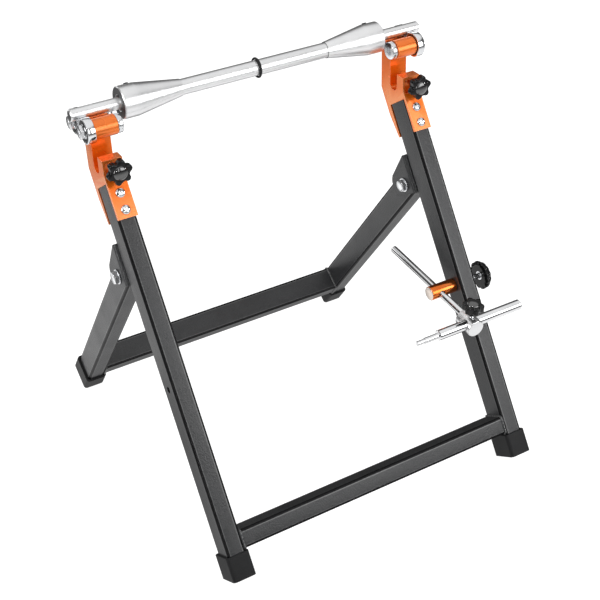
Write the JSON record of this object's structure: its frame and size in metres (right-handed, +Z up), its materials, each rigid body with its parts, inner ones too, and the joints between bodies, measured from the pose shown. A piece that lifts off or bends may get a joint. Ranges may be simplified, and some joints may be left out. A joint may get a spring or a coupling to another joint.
{
  "type": "motorcycle wheel balancer",
  "caption": "Folding bench stand with two forked heads, paired roller bearings, a shaft with centring cones and an adjustable run-out pointer.",
  "frame": {"origin": "on the floor, under the middle of the whole object's box", "axes": "+X along the shaft towards the pointer's leg, -Y to the front where the clamp knobs are, +Z up"},
  "size_m": [0.4098, 0.4306, 0.4469],
  "materials": {
    "powder_grey": "satin powder coat",
    "cap_black": "matte moulded",
    "head_orange": "semi-gloss coat",
    "boss_orange": "anodised",
    "zinc": "zinc plated",
    "bearing_steel": "ground and polished",
    "bare_aluminium": "turned",
    "bright_steel": "polished",
    "knob_black": "gloss moulded",
    "ring_black": "matte",
    "black_steel": "black oxide"
  },
  "bodies": {
    "stand": {"front_left_leg": "powder_grey", "front_right_leg": "powder_grey", "front_crossbar": "powder_grey", "front_left_foot_cap": "cap_black", "front_right_foot_cap": "cap_black", "left_hinge_bracket": "powder_grey", "left_head_bracket": "head_orange", "left_upper_head_screw": "zinc", "left_lower_head_screw": "zinc", "left_pivot_bolt": "zinc", "left_pivot_nut": "zinc", "left_front_roller_screw": "zinc", "left_front_inner_ring": "bearing_steel", "left_back_roller_screw": "zinc", "left_back_inner_ring": "bearing_steel", "right_hinge_bracket": "powder_grey", "right_head_bracket": "head_orange", "right_upper_head_screw": "zinc", "right_lower_head_screw": "zinc", "right_pivot_bolt": "zinc", "right_pivot_nut": "zinc", "right_front_roller_screw": "zinc", "right_front_inner_ring": "bearing_steel", "right_back_roller_screw": "zinc", "right_back_inner_ring": "bearing_steel"},
    "rear_frame": {"rear_left_leg": "powder_grey", "rear_right_leg": "powder_grey", "rear_crossbar": "powder_grey", "rear_left_foot_cap": "cap_black", "rear_right_foot_cap": "cap_black"},
    "shaft_core": {"shaft_joining_stud": "zinc"},
    "shaft": {"left_shaft_half": "bare_aluminium", "right_shaft_half": "bare_aluminium", "shaft_ring": "ring_black"},
    "left_front_roller": {"left_front_outer_ring": "bearing_steel"},
    "left_front_balls": {"left_front_ball_cage": "bearing_steel"},
    "left_back_roller": {"left_back_outer_ring": "bearing_steel"},
    "left_back_balls": {"left_back_ball_cage": "bearing_steel"},
    "left_cone": {"left_cone": "bare_aluminium", "left_cone_screw": "black_steel"},
    "left_clamp_stud": {"left_clamp_stud": "zinc"},
    "left_clamp_knob": {"left_clamp_knob": "knob_black"},
    "right_front_roller": {"right_front_outer_ring": "bearing_steel"},
    "right_front_balls": {"right_front_ball_cage": "bearing_steel"},
    "right_back_roller": {"right_back_outer_ring": "bearing_steel"},
    "right_back_balls": {"right_back_ball_cage": "bearing_steel"},
    "right_cone": {"right_cone": "bare_aluminium", "right_cone_screw": "black_steel"},
    "right_clamp_stud": {"right_clamp_stud": "zinc"},
    "right_clamp_knob": {"right_clamp_knob": "knob_black"},
    "indicator_boss": {"indicator_boss": "boss_orange", "indicator_stud": "zinc"},
    "indicator_insert": {"indicator_insert": "zinc"},
    "indicator_knob": {"indicator_knob": "knob_black"},
    "indicator_rod": {"indicator_rod": "bright_steel"},
    "pointer_block": {"pointer_block": "bare_aluminium"},
    "pointer_rod": {"pointer_rod": "bright_steel"},
    "pointer_stud": {"pointer_stud": "zinc"},
    "pointer_knob": {"pointer_knob": "knob_black"}
  },
  "joints": [
    {"name": "rear_frame_fold", "type": "hinge", "parent": "stand", "child": "rear_frame", "pos_m": [0, 0.0033, 0.26418], "axis": [-1, 0, 0], "range_deg": [0, 69.5]},
    {"name": "shaft_lift", "type": "slide", "parent": "stand", "child": "shaft_core", "axis": [0, 0, 1], "range_m": [0, 0.06]},
    {"name": "shaft_spin", "type": "hinge", "parent": "shaft_core", "child": "shaft", "pos_m": [0, 0.04126, 0.43032], "axis": [1, 0, 0], "continuous": true},
    {"name": "left_front_roller_spin", "type": "hinge", "parent": "stand", "child": "left_front_roller", "pos_m": [-0.1936, 0.02776, 0.41695], "axis": [1, 0, 0], "continuous": true},
    {"name": "left_front_balls_spin", "type": "hinge", "parent": "stand", "child": "left_front_balls", "pos_m": [-0.1936, 0.02776, 0.41695], "axis": [1, 0, 0], "continuous": true},
    {"name": "left_back_roller_spin", "type": "hinge", "parent": "stand", "child": "left_back_roller", "pos_m": [-0.1936, 0.05476, 0.41695], "axis": [1, 0, 0], "continuous": true},
    {"name": "left_back_balls_spin", "type": "hinge", "parent": "stand", "child": "left_back_balls", "pos_m": [-0.1936, 0.05476, 0.41695], "axis": [1, 0, 0], "continuous": true},
    {"name": "left_cone_slide", "type": "slide", "parent": "shaft", "child": "left_cone", "axis": [1, 0, 0], "range_m": [0, 0.07]},
    {"name": "left_clamp_feed", "type": "slide", "parent": "stand", "child": "left_clamp_stud", "axis": [0, 1, 0], "range_m": [0, 0.005]},
    {"name": "left_clamp_turn", "type": "hinge", "parent": "left_clamp_stud", "child": "left_clamp_knob", "pos_m": [-0.1784, 0, 0.38195], "axis": [0, 1, 0], "range_deg": [0, 1800]},
    {"name": "right_front_roller_spin", "type": "hinge", "parent": "stand", "child": "right_front_roller", "pos_m": [0.1868, 0.02776, 0.41695], "axis": [1, 0, 0], "continuous": true},
    {"name": "right_front_balls_spin", "type": "hinge", "parent": "stand", "child": "right_front_balls", "pos_m": [0.1868, 0.02776, 0.41695], "axis": [1, 0, 0], "continuous": true},
    {"name": "right_back_roller_spin", "type": "hinge", "parent": "stand", "child": "right_back_roller", "pos_m": [0.1868, 0.05476, 0.41695], "axis": [1, 0, 0], "continuous": true},
    {"name": "right_back_balls_spin", "type": "hinge", "parent": "stand", "child": "right_back_balls", "pos_m": [0.1868, 0.05476, 0.41695], "axis": [1, 0, 0], "continuous": true},
    {"name": "right_cone_slide", "type": "slide", "parent": "shaft", "child": "right_cone", "axis": [-1, 0, 0], "range_m": [0, 0.07]},
    {"name": "right_clamp_feed", "type": "slide", "parent": "stand", "child": "right_clamp_stud", "axis": [0, 1, 0], "range_m": [0, 0.005]},
    {"name": "right_clamp_turn", "type": "hinge", "parent": "right_clamp_stud", "child": "right_clamp_knob", "pos_m": [0.1716, 0, 0.38195], "axis": [0, 1, 0], "range_deg": [0, 1800]},
    {"name": "indicator_swivel", "type": "hinge", "parent": "stand", "child": "indicator_boss", "pos_m": [0.1616, -0.09094, 0.17922], "axis": [1, 0, 0], "range_deg": [-90, 10]},
    {"name": "indicator_insert_feed", "type": "slide", "parent": "indicator_boss", "child": "indicator_insert", "axis": [-1, 0, 0], "range_m": [-0.003, 0.0145]},
    {"name": "indicator_knob_turn", "type": "hinge", "parent": "indicator_insert", "child": "indicator_knob", "pos_m": [0.2009, -0.09094, 0.17922], "axis": [-1, 0, 0], "range_deg": [-1080, 5220]},
    {"name": "indicator_rod_slide", "type": "slide", "parent": "indicator_boss", "child": "indicator_rod", "axis": [0, 0.994, 0.1097], "range_m": [-0.06, 0.01]},
    {"name": "pointer_block_turn", "type": "hinge", "parent": "indicator_rod", "child": "pointer_block", "pos_m": [0.1408, -0.09094, 0.17922], "axis": [0, -0.994, -0.1097], "range_deg": [-10, 90]},
    {"name": "pointer_slide", "type": "slide", "parent": "pointer_block", "child": "pointer_rod", "axis": [1, 0, 0], "range_m": [-0.04, 0.025]},
    {"name": "pointer_stud_feed", "type": "slide", "parent": "pointer_block", "child": "pointer_stud", "axis": [0, -0.1097, 0.994], "range_m": [0, 0.0032]},
    {"name": "pointer_knob_turn", "type": "hinge", "parent": "pointer_stud", "child": "pointer_knob", "pos_m": [0.1377, -0.15435, 0.17222], "axis": [0, -0.1097, 0.994], "range_deg": [0, 1440]}
  ],
  "couplings": [
    {"joint": "left_front_roller_spin", "follows": "shaft_spin", "ratio": -0.46154},
    {"joint": "left_front_balls_spin", "follows": "shaft_spin", "ratio": -0.28951},
    {"joint": "left_back_roller_spin", "follows": "shaft_spin", "ratio": -0.46154},
    {"joint": "left_back_balls_spin", "follows": "shaft_spin", "ratio": -0.28951},
    {"joint": "left_clamp_feed", "follows": "left_clamp_turn", "m_per_rad": 0.00015915},
    {"joint": "right_front_roller_spin", "follows": "shaft_spin", "ratio": -0.46154},
    {"joint": "right_front_balls_spin", "follows": "shaft_spin", "ratio": -0.28951},
    {"joint": "right_back_roller_spin", "follows": "shaft_spin", "ratio": -0.46154},
    {"joint": "right_back_balls_spin", "follows": "shaft_spin", "ratio": -0.28951},
    {"joint": "right_clamp_feed", "follows": "right_clamp_turn", "m_per_rad": 0.00015915},
    {"joint": "indicator_insert_feed", "follows": "indicator_knob_turn", "m_per_rad": 0.00015915},
    {"joint": "pointer_stud_feed", "follows": "pointer_knob_turn", "m_per_rad": 0.00012732}
  ]
}
